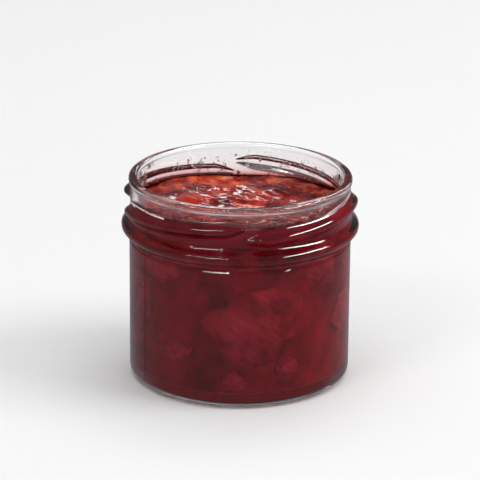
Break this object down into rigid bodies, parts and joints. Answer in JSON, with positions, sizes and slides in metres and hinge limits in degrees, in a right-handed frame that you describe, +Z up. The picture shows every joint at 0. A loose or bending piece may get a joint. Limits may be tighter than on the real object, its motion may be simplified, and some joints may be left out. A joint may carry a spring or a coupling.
{
  "type": "jam jar",
  "caption": "Low straight-sided glass jar with a slanted-lug twist-off finish and a round bead below it, lid off, nearly full of dark red jam.",
  "frame": {"origin": "middle of the foot circle, on the surface that the jar stands on", "axes": "+Z up along the jar's axis; the side towards -Y is the front"},
  "size_m": [0.0836, 0.0836, 0.073],
  "materials": {
    "glass": "clear moulded glass, smooth and glossy, faintly wavy",
    "jam": "wet and glossy translucent red jelly with pieces of fruit"
  },
  "bodies": {
    "root": {"jar": "glass", "jam": "jam"}
  },
  "joints": []
}
